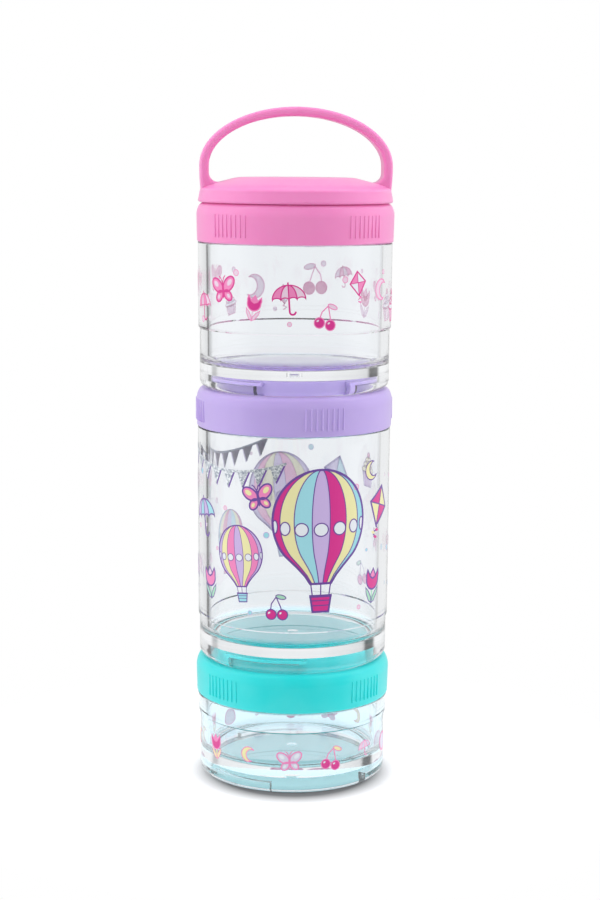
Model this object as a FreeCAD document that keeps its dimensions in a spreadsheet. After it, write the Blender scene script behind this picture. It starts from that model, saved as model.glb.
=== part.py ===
import FreeCAD, Part
import collections
import math
import os
import re
import Sketcher

# A stack of three clear food cups with a carrying handle.
# Each cup screws into a coloured lid with a soft seal ring. On top of every lid stands a boss with three
# lugs. The hollow base of the next cup, or of the carrying cap, sits on the lid and locks under those lugs
# with a sixth of a turn. The axis of the stack is Z, and the lowest cup stands on Z = 0.
# The handle lies in the XZ plane, and -Y is the front.

# Driving sizes, in millimetres and degrees, with what each one is.
SIZES = (
    ("lid_radius", 35.0, "outside of a lid, the widest size of the stack"),
    ("lid_height", 13.7, "lower edge of a lid to the seat for the next cup"),
    ("lid_wall", 1.3, "skirt of a lid"),
    ("lid_plate", 2.0, "seat plate of a lid"),
    ("lid_side_round", 7.0, "long round from a lid's side into its shoulder"),
    ("lid_side_turn", 25.0, "angle that the long round turns through"),
    ("lid_round", 2.6, "rounded shoulder of a lid, up to its seat"),
    ("lid_lip_round", 0.5, "rounded lower edge of a lid"),
    ("lid_draft", 0.2, "how much a lid narrows to its lower edge"),
    ("rib_count", 8, "grip ribs in a group"),
    ("rib_pairs", 2, "pairs of groups round a lid"),
    ("rib_pair_angle", 85.0, "angle between the two groups of a pair"),
    ("rib_turn", 9.65, "angle from a lug to the first group's middle"),
    ("rib_spacing", 3.25, "angle from one grip rib to the next"),
    ("rib_radius", 0.35, "roundness of a grip rib"),
    ("rib_rise", 0.25, "how far a grip rib stands out"),
    ("rib_low", 2.3, "lower end of a grip rib above the lid's edge"),
    ("rib_length", 7.6, "length of a grip rib"),
    ("boss_height", 4.9, "boss of a lid above its seat"),
    ("boss_wall", 1.6, "side wall of the boss"),
    ("boss_plate", 1.8, "top wall of the boss"),
    ("boss_round", 0.6, "rounded top edge of the boss"),
    ("plug_wall", 1.2, "inner ring of a lid, which keeps the seal in place"),
    ("plug_depth", 3.3, "inner ring of a lid below its plate"),
    ("plug_gap", 0.7, "inner ring of a lid to the cup's mouth"),
    ("thread_gap", 0.9, "lid's bore to the cup's neck, where the screw thread runs"),
    ("seal_thickness", 1.5, "seal ring along the axis"),
    ("seal_gap", 0.2, "seal ring to the walls of its groove"),
    ("seal_round", 0.6, "rounded edges of the seal ring"),
    ("lug_count", 3, "lugs on a boss and in a base"),
    ("lug_arc", 50.0, "angle that a base lug spans"),
    ("boss_lug_arc", 60.0, "angle that a boss lug spans"),
    ("lug_reach", 2.2, "how far a boss lug stands out"),
    ("lug_low", 0.7, "underside of a base lug above the base's edge"),
    ("lug_thickness", 2.4, "base lug along the axis"),
    ("lug_play", 0.15, "base lug to the boss lug above it"),
    ("lug_gap", 0.4, "running gap round the lugs"),
    ("stop_arc", 4.0, "angle that the stop beside a boss lug spans"),
    ("stop_gap", 0.6, "angle from a locked base lug to its stop"),
    ("base_inset", 1.2, "base of a cup inside the lid's outline"),
    ("base_round", 3.0, "rounded lower edge of a cup"),
    ("skirt_wall", 3.8, "ring wall under a cup's floor"),
    ("skirt_depth", 5.4, "hollow under a cup's floor"),
    ("floor_thickness", 3.0, "floor of a cup"),
    ("floor_round", 3.6, "round between a cup's floor and wall"),
    ("floor_inset", 0.6, "how much a cup narrows inside from mouth to floor"),
    ("gate_radius", 1.9, "moulding gate's dimple under the floor"),
    ("gate_depth", 0.7, "depth of that dimple"),
    ("cup_inset", 0.5, "top of a cup's wall inside the lid's outline"),
    ("step_depth", 0.5, "step in a cup's outer wall"),
    ("shoulder_round", 0.4, "rounded shoulder under the neck"),
    ("seam_gap", 0.15, "cup's shoulder to the lid's lower edge"),
    ("neck_wall", 1.6, "wall of a cup's neck"),
    ("rim_round", 0.5, "rounded rim of a cup"),
    ("lower_cup_height", 29.6, "lowest cup, base to lid"),
    ("middle_cup_height", 83.9, "middle cup, base to lid"),
    ("upper_cup_height", 51.7, "upper cup, base to lid"),
    ("lower_step_height", 22.0, "step in the lowest cup's wall above its base"),
    ("middle_step_height", 15.0, "step in the middle cup's wall above its base"),
    ("upper_step_height", 21.1, "step in the upper cup's wall above its base"),
    ("cap_inset", 0.55, "carrying cap's lower edge inside the lid's outline"),
    ("cap_draft", 0.6, "how much the cap's side narrows to its rim"),
    ("cap_edge_round", 0.8, "rounded lower edge of the cap"),
    ("cap_rim_inset", 0.7, "how far in the cap's rounded rim reaches"),
    ("cap_height", 8.75, "lower edge of the cap to the top of its crown"),
    ("crown_shoulder", 6.5, "crown's slope across, from its bend at the edge to the one into its flat top"),
    ("crown_drop", 0.5, "flat top above the start of the bend into it"),
    ("crown_edge", 4.15, "bend at the crown's edge across, in from the rim's round"),
    ("crown_edge_height", 6.6, "start of the bend at the edge above the cap's lower edge"),
    ("crown_edge_round", 19.0, "radius of the bend at the edge"),
    ("crown_wall", 1.8, "wall of the crown at its middle"),
    ("crown_edge_wall", 1.1, "wall of the crown at the hollow's edge"),
    ("handle_bow", 0.1, "handle's widest point outside the cap's rim"),
    ("handle_spring", 12.7, "cap's lower edge to the handle's widest point"),
    ("handle_rise", 20.5, "widest point of the handle to its top"),
    ("handle_thickness", 3.2, "handle, seen from the front"),
    ("handle_depth", 11.0, "handle, front to back"),
    ("handle_toe", 3.4, "round at the root of the handle"),
    ("handle_sink", 1.8, "root of the handle inside the cap's crown"),
    ("handle_tuck", 0.45, "foot of the handle's leg inside the cap's rim"),
    ("pink_lid_angle", 35.3, "turn of the top lid about the axis"),
    ("purple_lid_angle", 94.0, "turn of the middle lid about the axis"),
    ("teal_lid_angle", 125.0, "turn of the lowest lid about the axis"),
    ("lower_cup_angle", 106.5, "turn of the lowest cup about the axis"),
    ("overrun", 0.5, "how far an added piece reaches into what carries it"),
)
FULL_TURN = 360.0
HANDLE_ROUND_SHARE = 0.42  # rounded edges of the handle, as a share of its thickness

# Sizes that follow from the driving ones. Pieces that fit each other share them.
LID_BORE = "(lid_radius - lid_wall)"
LID_CEILING = "(lid_height - lid_plate)"
NECK_RADIUS = "(lid_radius - lid_wall - thread_gap)"
MOUTH_RADIUS = f"({NECK_RADIUS} - neck_wall)"
PLUG_RADIUS = f"({MOUTH_RADIUS} - plug_gap)"
BASE_RADIUS = "(lid_radius - base_inset)"
SKIRT_BORE = f"({BASE_RADIUS} - skirt_wall)"
BOSS_LUG_RADIUS = f"({SKIRT_BORE} - lug_gap)"
BOSS_RADIUS = f"({BOSS_LUG_RADIUS} - lug_reach)"
BASE_LUG_RADIUS = f"({BOSS_RADIUS} + lug_gap)"
BOSS_LUG_LOW = "(lug_low + lug_thickness + lug_play)"
FLOOR_TOP = "(skirt_depth + floor_thickness)"
FLOOR_RADIUS = f"({MOUTH_RADIUS} - floor_inset)"
RIM_ABOVE_CUP = f"({LID_CEILING} - seal_thickness)"
SEAL_GROOVE_ROUND = "(seal_round + seal_gap)"

# The shoulder of a lid: its long round starts here, and its short round ends at the flat seat.
SHOULDER_LOW = "(lid_height - lid_round - (lid_side_round - lid_round) * sin(lid_side_turn))"
SEAT_RADIUS = "(lid_radius - lid_side_round + (lid_side_round - lid_round) * cos(lid_side_turn))"

# The crown of the cap. Its slope runs tangent into the bend at the top and into the one at the edge.
CAP_RADIUS = "(lid_radius - cap_inset)"
CAP_RIM_RADIUS = f"({CAP_RADIUS} - cap_draft)"
RIM_INNER = f"({CAP_RIM_RADIUS} - cap_rim_inset)"
CROWN_EDGE = f"({RIM_INNER} - crown_edge)"
CROWN_SHOULDER = f"({CROWN_EDGE} - crown_shoulder)"
CROWN_SLOPE = "((cap_height - crown_drop - crown_edge_height) / crown_shoulder)"
SLOPE_COS = f"(1 / sqrt(1 + {CROWN_SLOPE}^2))"
SLOPE_SIN = f"({CROWN_SLOPE} * {SLOPE_COS})"
CROWN_ROUND = f"(crown_drop / (1 - {SLOPE_COS}))"
CROWN_TOP_RADIUS = f"({CROWN_SHOULDER} - {CROWN_ROUND} * {SLOPE_SIN})"
RIM_SIN = f"(crown_edge / crown_edge_round + {SLOPE_SIN})"
RIM_COS = f"sqrt(1 - {RIM_SIN}^2)"
RIM_ROUND = f"(cap_rim_inset / (1 - {RIM_SIN}))"
RIM_HIGH = f"(crown_edge_height - crown_edge_round * ({SLOPE_COS} - {RIM_COS}))"
RIM_LOW = f"({RIM_HIGH} - {RIM_ROUND} * {RIM_COS})"

# The handle of the cap: its leg, and the toe where the round at its root meets the crown's slope.
HANDLE_OUTER = f"({CAP_RIM_RADIUS} + handle_bow)"
HANDLE_INNER = f"({HANDLE_OUTER} - handle_thickness)"
LEG_FOOT = f"({CAP_RIM_RADIUS} - handle_tuck)"
LEG_FOOT_LEVEL = f"({RIM_LOW} - overrun)"
LEG_IN = f"({HANDLE_OUTER} - {LEG_FOOT})"
LEG_BOW = f"(((handle_spring - {LEG_FOOT_LEVEL})^2 / {LEG_IN} + {LEG_IN}) / 2)"
TOE_RADIUS = f"({HANDLE_INNER} - handle_toe)"
TOE_LEVEL = f"(crown_edge_height + ({CROWN_EDGE} - {TOE_RADIUS}) * {CROWN_SLOPE})"

# Levels of the stack, from the table up.
TEAL_LID_Z = "lower_cup_height"
MIDDLE_CUP_Z = f"({TEAL_LID_Z} + lid_height)"
PURPLE_LID_Z = f"({MIDDLE_CUP_Z} + middle_cup_height)"
UPPER_CUP_Z = f"({PURPLE_LID_Z} + lid_height)"
PINK_LID_Z = f"({UPPER_CUP_Z} + upper_cup_height)"
CAP_Z = f"({PINK_LID_Z} + lid_height)"

doc = FreeCAD.newDocument("food_container")
sheet = doc.addObject("Spreadsheet::Sheet", "Sizes")
ALIASES = {alias for alias, number, note in SIZES}


def fill_sheet():
    for row, (alias, number, note) in enumerate(SIZES, start=1):
        sheet.set(f"A{row}", alias)
        sheet.set(f"B{row}", str(number))
        sheet.set(f"C{row}", note)
        sheet.setAlias(f"B{row}", alias)
    doc.recompute()


def formula(text):
    # The same formula with every size read from the sheet.
    def from_sheet(found):
        return f"{sheet.Name}.{found.group()}" if found.group() in ALIASES else found.group()
    return re.sub(r"[a-z]\w*", from_sheet, text)


def size(text):
    return float(sheet.evalExpression(formula(text)))


# One corner of an outline, and the stretch from it to the next corner: a line, or an arc that bulges
# out of the piece or bites into it.
Corner = collections.namedtuple("Corner", "x y radius turn", defaults=(None, 0))


def outward(x, y, radius):
    return Corner(x, y, radius, 1)


def inward(x, y, radius):
    return Corner(x, y, radius, -1)


def origin_feature(body, role):
    return next(f for f in body.Origin.OriginFeatures if f.Role == role)


def new_body(label, height, angle=None):
    body = doc.addObject("PartDesign::Body", label)
    body.Label = label
    body.setExpression("Placement.Base.z", formula(height))
    if angle:
        body.Placement.Rotation = FreeCAD.Rotation(FreeCAD.Vector(0, 0, 1), size(angle))
        body.setExpression("Placement.Rotation.Angle", formula(angle))
    return body


def new_sketch(body, name, plane):
    sketch = body.newObject("Sketcher::SketchObject", name)
    sketch.AttachmentSupport = (origin_feature(body, plane), "")
    sketch.MapMode = "FlatFace"
    return sketch


def bind(sketch, constraint, text):
    index = sketch.addConstraint(constraint)
    sketch.setExpression(f"Constraints[{index}]", formula(text))


def place_point(sketch, geometry, end, x, y):
    # Ties a point to the sheet. A zero is a point on one of the sketch's axes.
    if x == "0":
        sketch.addConstraint(Sketcher.Constraint("PointOnObject", geometry, end, -2))
    else:
        bind(sketch, Sketcher.Constraint("DistanceX", -1, 1, geometry, end, size(x)), x)
    if y == "0":
        sketch.addConstraint(Sketcher.Constraint("PointOnObject", geometry, end, -1))
    else:
        bind(sketch, Sketcher.Constraint("DistanceY", -1, 1, geometry, end, size(y)), y)


def arc_between(start, finish, radius, turn):
    chord = finish - start
    left = FreeCAD.Vector(-chord.y, chord.x, 0).normalize()
    reach = math.sqrt(max(radius**2 - chord.Length**2 / 4, 0))
    centre = (start + finish) / 2 + left * reach * turn
    first, last = (start, finish) if turn > 0 else (finish, start)
    angles = [math.atan2(p.y - centre.y, p.x - centre.x) for p in (first, last)]
    if angles[1] < angles[0]:
        angles[1] += 2 * math.pi
    return Part.ArcOfCircle(Part.Circle(centre, FreeCAD.Vector(0, 0, 1), radius), *angles)


def draw_outline(sketch, corners):
    # A closed outline through the corners, counter-clockwise.
    points = [FreeCAD.Vector(size(c.x), size(c.y), 0) for c in corners]
    ends = []
    for k, corner in enumerate(corners):
        start, finish = points[k], points[(k + 1) % len(points)]
        if corner.radius is None:
            ends.append((sketch.addGeometry(Part.LineSegment(start, finish)), 1, 2))
            continue
        arc = arc_between(start, finish, size(corner.radius), corner.turn)
        index = sketch.addGeometry(arc)
        ends.append((index, 1, 2) if corner.turn > 0 else (index, 2, 1))
        bind(sketch, Sketcher.Constraint("Radius", index, size(corner.radius)), corner.radius)
    for k, corner in enumerate(corners):
        index, first, last = ends[k]
        before, skip, before_last = ends[k - 1]
        sketch.addConstraint(Sketcher.Constraint("Coincident", before, before_last, index, first))
        place_point(sketch, index, first, corner.x, corner.y)


def turn_sketch(sketch, axis, angle):
    sketch.AttachmentOffset = FreeCAD.Placement(
        FreeCAD.Vector(), FreeCAD.Rotation(axis, size(angle))
    )
    sketch.setExpression("AttachmentOffset.Rotation.Angle", formula(angle))


def revolve(body, name, corners, arc=None, turned=None, kind="Revolution"):
    # A ring from an outline of radius and height, or a piece of one that spans an arc. A turned piece
    # lies anticlockwise from the X axis by that angle, seen from above. A Groove cuts the ring away.
    sketch = new_sketch(body, f"{name}_outline", "XZ_Plane")
    if turned:
        turn_sketch(sketch, FreeCAD.Vector(0, 1, 0), turned)
    draw_outline(sketch, corners)
    ring = body.newObject(f"PartDesign::{kind}", name)
    ring.Profile = sketch
    ring.ReferenceAxis = (sketch, ["V_Axis"])
    ring.Angle = FULL_TURN
    if arc:
        ring.Midplane = True
        ring.setExpression("Angle", formula(arc))
    return ring


def repeat_round(body, name, features, count):
    pattern = body.newObject("PartDesign::PolarPattern", name)
    pattern.Originals = features
    pattern.Axis = (origin_feature(body, "Z_Axis"), [""])
    pattern.Angle = FULL_TURN
    pattern.setExpression("Occurrences", formula(count))
    body.Tip = pattern


def block(inner, outer, low, high):
    return [Corner(inner, low), Corner(outer, low), Corner(outer, high), Corner(inner, high)]


def add_base_lugs(body, label, turned=None):
    # Lugs inside the hollow base of a cup or of the cap.
    corners = block(BASE_LUG_RADIUS, f"{SKIRT_BORE} + overrun", "lug_low", "lug_low + lug_thickness")
    lug = revolve(body, f"{label}_lug", corners, arc="lug_arc", turned=turned)
    repeat_round(body, f"{label}_lugs", [lug], "lug_count")


def make_cup(label, height, cup_height, step_height, angle):
    body = new_body(label, height, angle)
    shoulder = f"({cup_height} - seam_gap)"
    rim = f"({cup_height} + {RIM_ABOVE_CUP})"
    wall = "(lid_radius - cup_inset)"
    revolve(body, f"{label}_wall", [
        Corner(SKIRT_BORE, "0"),
        outward(f"{BASE_RADIUS} - base_round", "0", "base_round"),
        Corner(BASE_RADIUS, "base_round"),
        Corner(BASE_RADIUS, step_height),
        Corner(f"{BASE_RADIUS} + step_depth", f"{step_height} + step_depth"),
        outward(wall, f"{shoulder} - shoulder_round", "shoulder_round"),
        Corner(f"{wall} - shoulder_round", shoulder),
        Corner(NECK_RADIUS, shoulder),
        outward(NECK_RADIUS, f"{rim} - rim_round", "rim_round"),
        Corner(f"{NECK_RADIUS} - rim_round", rim),
        outward(f"{MOUTH_RADIUS} + rim_round", rim, "rim_round"),
        Corner(MOUTH_RADIUS, f"{rim} - rim_round"),
        inward(FLOOR_RADIUS, f"{FLOOR_TOP} + floor_round", "floor_round"),
        Corner(f"{FLOOR_RADIUS} - floor_round", FLOOR_TOP),
        Corner("0", FLOOR_TOP),
        Corner("0", "skirt_depth + gate_depth"),
        Corner("gate_radius", "skirt_depth + gate_depth"),
        Corner("gate_radius", "skirt_depth"),
        Corner(SKIRT_BORE, "skirt_depth"),
    ])
    add_base_lugs(body, label)
    return body


def add_grip_ribs(body, label):
    # Slim upright ribs on the skirt of a lid. A group is repeated into a pair, and the pair round the lid.
    sketch = new_sketch(body, f"{label}_rib_outline", "XY_Plane")
    turn_sketch(sketch, FreeCAD.Vector(0, 0, -1), "rib_spacing * (rib_count - 1) / 2 - rib_turn")
    sketch.setExpression("AttachmentOffset.Base.z", formula("rib_low"))
    centre = "lid_radius + rib_rise - rib_radius"
    circle = Part.Circle(FreeCAD.Vector(size(centre), 0, 0), FreeCAD.Vector(0, 0, 1), size("rib_radius"))
    index = sketch.addGeometry(circle)
    bind(sketch, Sketcher.Constraint("Radius", index, size("rib_radius")), "rib_radius")
    place_point(sketch, index, 3, centre, "0")
    rib = body.newObject("PartDesign::Pad", f"{label}_rib")
    rib.Profile = sketch
    rib.setExpression("Length", formula("rib_length"))
    ribs = body.newObject("PartDesign::MultiTransform", f"{label}_ribs")
    ribs.Originals = [rib]
    names = [f"{label}_rib_{part}" for part in ("group", "pair", "pairs")]
    group, pair, round_lid = (body.newObject("PartDesign::PolarPattern", name) for name in names)
    group.setExpression("Angle", formula("rib_spacing * (rib_count - 1)"))
    group.setExpression("Occurrences", formula("rib_count"))
    pair.setExpression("Angle", formula("rib_pair_angle"))
    pair.Occurrences = 2
    round_lid.Angle = FULL_TURN
    round_lid.setExpression("Occurrences", formula("rib_pairs"))
    ribs.Transformations = [group, pair, round_lid]
    for pattern in ribs.Transformations:
        pattern.Axis = (origin_feature(body, "Z_Axis"), [""])
    body.Tip = ribs


def make_lid(label, height, angle):
    body = new_body(label, height, angle)
    foot = "(lid_radius - lid_draft)"
    boss_top = "(lid_height + boss_height)"
    revolve(body, f"{label}_shell", [
        Corner(LID_BORE, "0"),
        outward(f"{foot} - lid_lip_round", "0", "lid_lip_round"),
        Corner(foot, "lid_lip_round"),
        outward("lid_radius", SHOULDER_LOW, "lid_side_round"),
        outward(
            "lid_radius - lid_side_round * (1 - cos(lid_side_turn))",
            f"{SHOULDER_LOW} + lid_side_round * sin(lid_side_turn)", "lid_round",
        ),
        Corner(SEAT_RADIUS, "lid_height"),
        Corner(BOSS_RADIUS, "lid_height"),
        outward(BOSS_RADIUS, f"{boss_top} - boss_round", "boss_round"),
        Corner(f"{BOSS_RADIUS} - boss_round", boss_top),
        Corner("0", boss_top),
        Corner("0", f"{boss_top} - boss_plate"),
        Corner(f"{BOSS_RADIUS} - boss_wall", f"{boss_top} - boss_plate"),
        Corner(f"{BOSS_RADIUS} - boss_wall", LID_CEILING),
        Corner(f"{PLUG_RADIUS} - plug_wall", LID_CEILING),
        Corner(f"{PLUG_RADIUS} - plug_wall", f"{LID_CEILING} - plug_depth"),
        Corner(PLUG_RADIUS, f"{LID_CEILING} - plug_depth"),
        Corner(PLUG_RADIUS, LID_CEILING),
        inward(f"{LID_BORE} - {SEAL_GROOVE_ROUND}", LID_CEILING, SEAL_GROOVE_ROUND),
        Corner(LID_BORE, f"{LID_CEILING} - {SEAL_GROOVE_ROUND}"),
    ])
    root = f"{BOSS_RADIUS} - overrun"
    lug_low = f"lid_height + {BOSS_LUG_LOW}"
    lug_corners = block(root, BOSS_LUG_RADIUS, lug_low, f"{boss_top} - boss_round")
    stop_corners = block(root, BOSS_LUG_RADIUS, "lid_height - overrun", f"{boss_top} - boss_round")
    lug = revolve(body, f"{label}_lug", lug_corners, arc="boss_lug_arc")
    stop_angle = f"{FULL_TURN} / lug_count - lug_arc / 2 - stop_gap - stop_arc / 2"
    stop = revolve(body, f"{label}_stop", stop_corners, arc="stop_arc", turned=stop_angle)
    repeat_round(body, f"{label}_lugs", [lug, stop], "lug_count")
    add_grip_ribs(body, label)
    return body


def make_seal(label, lid_height):
    body = new_body(label, f"{lid_height} + {RIM_ABOVE_CUP}")
    inner = f"({PLUG_RADIUS} + seal_gap)"
    outer = f"({LID_BORE} - seal_gap)"
    revolve(body, f"{label}_ring", [
        Corner(f"{inner} + seal_round", "0"),
        outward(f"{outer} - seal_round", "0", "seal_round"),
        Corner(outer, "seal_round"),
        outward(outer, "seal_thickness - seal_round", "seal_round"),
        Corner(f"{outer} - seal_round", "seal_thickness"),
        outward(f"{inner} + seal_round", "seal_thickness", "seal_round"),
        Corner(inner, "seal_thickness - seal_round"),
        outward(inner, "seal_round", "seal_round"),
    ])
    return body


def quarter_ellipse(sketch, half_span, rise, level):
    # From the widest point of the handle to its top, held by its own two axes.
    centre = FreeCAD.Vector(0, size(level), 0)
    ellipse = Part.Ellipse(centre, size(half_span), size(rise))
    index = sketch.addGeometry(Part.ArcOfEllipse(ellipse, 0, math.pi / 2))
    sketch.exposeInternalGeometry(index)
    long_axis, short_axis = index + 1, index + 2
    place_point(sketch, index, 3, "0", level)
    sketch.addConstraint(Sketcher.Constraint("Horizontal", long_axis))
    bind(sketch, Sketcher.Constraint("Distance", long_axis, 2 * size(half_span)), f"2 * {half_span}")
    bind(sketch, Sketcher.Constraint("Distance", short_axis, 2 * size(rise)), f"2 * {rise}")
    sketch.addConstraint(Sketcher.Constraint("PointOnObject", index, 1, long_axis))
    sketch.addConstraint(Sketcher.Constraint("PointOnObject", index, 2, -2))
    return index


def join_path(sketch, stretches):
    # Chains (geometry, first end, last end) into one closed loop.
    for k, (index, first, last) in enumerate(stretches):
        before, skip, before_last = stretches[k - 1]
        sketch.addConstraint(Sketcher.Constraint("Coincident", before, before_last, index, first))


def draw_half_handle(sketch):
    # The right half of the handle from the front: arch, leg and rounded root.
    foot_level = f"({TOE_LEVEL} - handle_sink)"
    heel = f"({SKIRT_BORE} + overrun)"
    heel_level = "(crown_edge_height - handle_sink)"
    inner_rise = "(handle_rise - handle_thickness)"
    outer_arch = quarter_ellipse(sketch, HANDLE_OUTER, "handle_rise", "handle_spring")
    inner_arch = quarter_ellipse(sketch, HANDLE_INNER, inner_rise, "handle_spring")

    def point(x, y):
        return FreeCAD.Vector(size(x), size(y), 0)

    def line(first, last):
        return sketch.addGeometry(Part.LineSegment(first, last))

    knee = f"({TOE_LEVEL} + handle_toe)"
    crown = line(
        point("0", "handle_spring + handle_rise"), point("0", f"handle_spring + {inner_rise}")
    )
    leg_in = line(point(HANDLE_INNER, "handle_spring"), point(HANDLE_INNER, knee))
    root = sketch.addGeometry(
        arc_between(point(HANDLE_INNER, knee), point(TOE_RADIUS, TOE_LEVEL), size("handle_toe"), -1)
    )
    toe_line = line(point(TOE_RADIUS, TOE_LEVEL), point(TOE_RADIUS, foot_level))
    foot = line(point(TOE_RADIUS, foot_level), point(heel, heel_level))
    heel_line = line(point(heel, heel_level), point(LEG_FOOT, LEG_FOOT_LEVEL))
    leg_out = sketch.addGeometry(
        arc_between(point(LEG_FOOT, LEG_FOOT_LEVEL), point(HANDLE_OUTER, "handle_spring"), size(LEG_BOW), 1)
    )
    join_path(sketch, [
        (outer_arch, 1, 2), (crown, 1, 2), (inner_arch, 2, 1), (leg_in, 1, 2),
        (root, 2, 1), (toe_line, 1, 2), (foot, 1, 2), (heel_line, 1, 2), (leg_out, 1, 2),
    ])
    bind(sketch, Sketcher.Constraint("Radius", root, size("handle_toe")), "handle_toe")
    place_point(sketch, leg_in, 2, HANDLE_INNER, knee)
    place_point(sketch, toe_line, 1, TOE_RADIUS, TOE_LEVEL)
    place_point(sketch, foot, 1, TOE_RADIUS, foot_level)
    place_point(sketch, heel_line, 1, heel, heel_level)
    place_point(sketch, leg_out, 1, LEG_FOOT, LEG_FOOT_LEVEL)
    bind(sketch, Sketcher.Constraint("Radius", leg_out, size(LEG_BOW)), LEG_BOW)


def long_handle_edges(shape):
    # The edges along the front and back of the arch, legs and roots, without those sunk in the crown.
    half_depth = size("handle_depth / 2")
    toe_level = size(TOE_LEVEL)
    names = []
    for k, edge in enumerate(shape.Edges, start=1):
        middle = edge.valueAt((edge.FirstParameter + edge.LastParameter) / 2)
        ends = [vertex.Point for vertex in edge.Vertexes]
        in_face = all(abs(abs(p.y) - half_depth) < Part.Precision.confusion() for p in ends + [middle])
        above_crown = any(p.z > toe_level + Part.Precision.confusion() for p in ends)
        if in_face and above_crown:
            names.append(f"Edge{k}")
    return names


def make_cap(label, height):
    body = new_body(label, height)
    sketch = new_sketch(body, f"{label}_handle_outline", "XZ_Plane")
    draw_half_handle(sketch)
    half = body.newObject("PartDesign::Pad", f"{label}_half_handle")
    half.Profile = sketch
    half.Midplane = True
    half.setExpression("Length", formula("handle_depth"))
    handle = body.newObject("PartDesign::Mirrored", f"{label}_handle")
    handle.Originals = [half]
    handle.MirrorPlane = (origin_feature(body, "YZ_Plane"), [""])
    body.Tip = handle
    doc.recompute()
    smooth = body.newObject("PartDesign::Fillet", f"{label}_handle_edges")
    smooth.Base = (handle, long_handle_edges(handle.Shape))
    smooth.setExpression("Radius", formula(f"handle_thickness * {HANDLE_ROUND_SHARE}"))
    body.Tip = smooth
    revolve(body, f"{label}_crown", [
        Corner("0", "0"),
        outward(f"{CAP_RADIUS} - cap_edge_round", "0", "cap_edge_round"),
        Corner(CAP_RADIUS, "cap_edge_round"),
        outward(CAP_RIM_RADIUS, RIM_LOW, RIM_ROUND),
        outward(RIM_INNER, RIM_HIGH, "crown_edge_round"),
        Corner(CROWN_EDGE, "crown_edge_height"),
        outward(CROWN_SHOULDER, "cap_height - crown_drop", CROWN_ROUND),
        Corner(CROWN_TOP_RADIUS, "cap_height"),
        Corner("0", "cap_height"),
    ])
    # The hollow comes last, and cuts the handle's roots off flush under the crown.
    hollow_level = "(crown_edge_height - crown_edge_wall)"
    revolve(body, f"{label}_hollow", [
        Corner("0", "-overrun"),
        Corner(SKIRT_BORE, "-overrun"),
        Corner(SKIRT_BORE, hollow_level),
        Corner(f"{SKIRT_BORE} - overrun", hollow_level),
        Corner(CROWN_TOP_RADIUS, "cap_height - crown_wall"),
        Corner("0", "cap_height - crown_wall"),
    ], kind="Groove")
    add_base_lugs(body, label, turned="pink_lid_angle")
    return body


def check_and_export(bodies):
    doc.recompute()
    for thing in doc.Objects:
        if {"Invalid", "Error"} & set(thing.State):
            raise RuntimeError(f"{thing.Name} failed: {thing.State}")
    os.makedirs("parts", exist_ok=True)
    for body in bodies:
        shape = body.Shape
        if shape.isNull() or not shape.isValid() or len(shape.Solids) != 1:
            raise RuntimeError(f"{body.Label} is not one sound solid")
        shape.exportStep(os.path.join("parts", f"{body.Label}.step"))
        print(f"{body.Label}: {shape.Volume / 1000:.2f} cm3, {len(shape.Faces)} faces")


fill_sheet()
check_and_export([
    make_cup("lower_cup", "0", "lower_cup_height", "lower_step_height", "lower_cup_angle"),
    make_seal("teal_seal", TEAL_LID_Z),
    make_lid("teal_lid", TEAL_LID_Z, "teal_lid_angle"),
    make_cup("middle_cup", MIDDLE_CUP_Z, "middle_cup_height", "middle_step_height", "teal_lid_angle"),
    make_seal("purple_seal", PURPLE_LID_Z),
    make_lid("purple_lid", PURPLE_LID_Z, "purple_lid_angle"),
    make_cup("upper_cup", UPPER_CUP_Z, "upper_cup_height", "upper_step_height", "purple_lid_angle"),
    make_seal("pink_seal", PINK_LID_Z),
    make_lid("pink_lid", PINK_LID_Z, "pink_lid_angle"),
    make_cap("carrying_cap", CAP_Z),
])
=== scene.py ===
import bpy, bmesh, math
from mathutils import Matrix, Vector


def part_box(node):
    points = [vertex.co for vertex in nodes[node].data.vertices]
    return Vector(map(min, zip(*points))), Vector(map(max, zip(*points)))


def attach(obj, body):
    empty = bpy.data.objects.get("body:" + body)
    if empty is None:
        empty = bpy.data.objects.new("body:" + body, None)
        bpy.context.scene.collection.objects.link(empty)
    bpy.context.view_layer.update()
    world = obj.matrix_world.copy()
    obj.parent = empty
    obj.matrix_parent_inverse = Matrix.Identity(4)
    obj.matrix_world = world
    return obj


# three-tier twist-together food container: clear cups, coloured screw lids, carrying cap
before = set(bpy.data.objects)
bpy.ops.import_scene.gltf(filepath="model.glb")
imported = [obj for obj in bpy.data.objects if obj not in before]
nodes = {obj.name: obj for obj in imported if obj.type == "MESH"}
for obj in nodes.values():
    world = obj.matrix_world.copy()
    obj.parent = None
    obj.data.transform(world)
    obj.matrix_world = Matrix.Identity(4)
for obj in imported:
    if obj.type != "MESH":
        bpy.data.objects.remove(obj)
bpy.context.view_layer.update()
scene = bpy.context.scene
mm = 0.001
print("frame loaded:", ", ".join(sorted(nodes)))


def linear(hexColour):
    # sRGB hex to the linear colour that the shaders want
    channels = [int(hexColour[i:i + 2], 16) / 255 for i in (1, 3, 5)]
    return [c / 12.92 if c <= 0.04045 else ((c + 0.055) / 1.055) ** 2.4 for c in channels] + [1.0]


def addNode(tree, kind, links=None, **settings):
    # one node: settings are its properties, links fill its inputs with a value or another node's output
    node = tree.nodes.new(kind)
    for key, value in settings.items():
        setattr(node, key, value)
    for key, value in (links or {}).items():
        if isinstance(value, bpy.types.NodeSocket):
            tree.links.new(value, node.inputs[key])
        else:
            node.inputs[key].default_value = value
    return node


def newMaterial(name):
    material = bpy.data.materials.new(name)
    material.use_nodes = True
    tree = material.node_tree
    tree.nodes.clear()
    return material, tree, addNode(tree, "ShaderNodeOutputMaterial")


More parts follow.
